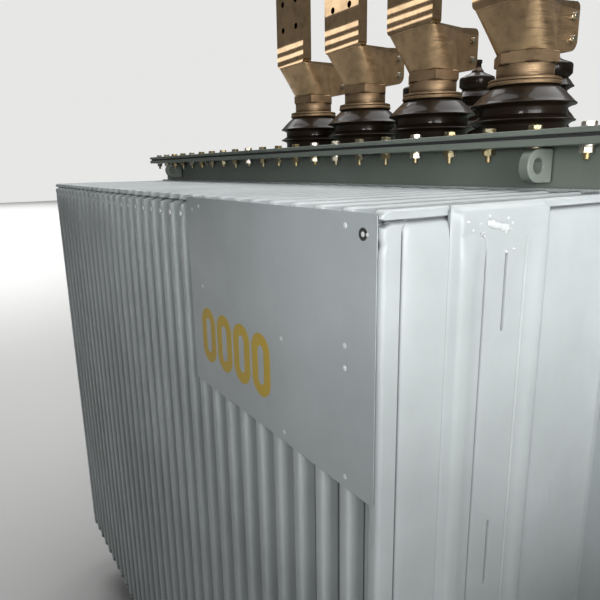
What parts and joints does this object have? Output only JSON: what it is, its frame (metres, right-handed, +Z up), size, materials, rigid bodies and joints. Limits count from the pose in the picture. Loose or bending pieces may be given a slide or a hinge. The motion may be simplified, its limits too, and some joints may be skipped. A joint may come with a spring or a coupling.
{
  "type": "power transformer",
  "caption": "Oil-filled power transformer with corrugated cooling fins, bolted cover, porcelain bushings and bronze flag clamps.",
  "frame": {"origin": "on the floor below the middle of the object's box", "axes": "+X along the long side, +Y from the low-voltage side to the high-voltage side, +Z up"},
  "size_m": [2.2, 1.5018, 1.929],
  "materials": {
    "tank_paint": "semi-gloss",
    "frame_paint": "semi-gloss",
    "panel_paint": "satin",
    "gasket_rubber": "matte",
    "brown_porcelain": "gloss",
    "bronze": "satin",
    "zinc": "satin"
  },
  "bodies": {
    "root": {"back_fin_wall": "tank_paint", "base_channel_left": "frame_paint", "base_channel_right": "frame_paint", "cover_gasket": "gasket_rubber", "cover_plate": "frame_paint", "drain_valve": "zinc", "earth_boss_left": "zinc", "earth_boss_right": "zinc", "filler_pipe": "frame_paint", "front_fin_wall": "tank_paint", "hv_phase_a_porcelain": "brown_porcelain", "hv_phase_a_terminal": "bronze", "hv_phase_b_porcelain": "brown_porcelain", "hv_phase_b_terminal": "bronze", "hv_phase_c_porcelain": "brown_porcelain", "hv_phase_c_terminal": "bronze", "left_fin_wall": "tank_paint", "lifting_lug_back_left": "frame_paint", "lifting_lug_back_right": "frame_paint", "lifting_lug_front_left": "frame_paint", "lifting_lug_front_right": "frame_paint", "lv_neutral_flag_clamp": "bronze", "lv_neutral_porcelain": "brown_porcelain", "lv_neutral_stud": "bronze", "lv_phase_a_flag_clamp": "bronze", "lv_phase_a_porcelain": "brown_porcelain", "lv_phase_a_stud": "bronze", "lv_phase_b_flag_clamp": "bronze", "lv_phase_b_porcelain": "brown_porcelain", "lv_phase_b_stud": "bronze", "lv_phase_c_flag_clamp": "bronze", "lv_phase_c_porcelain": "brown_porcelain", "lv_phase_c_stud": "bronze", "number_panel": "panel_paint", "right_fin_wall": "tank_paint", "stiffener_back_left": "tank_paint", "stiffener_back_right": "tank_paint", "stiffener_front_left": "tank_paint", "stiffener_front_right": "tank_paint", "tank_base_plate": "frame_paint", "tank_body": "tank_paint", "tank_collar": "frame_paint", "tap_changer": "zinc", "thermometer_pocket": "zinc"}
  },
  "joints": []
}
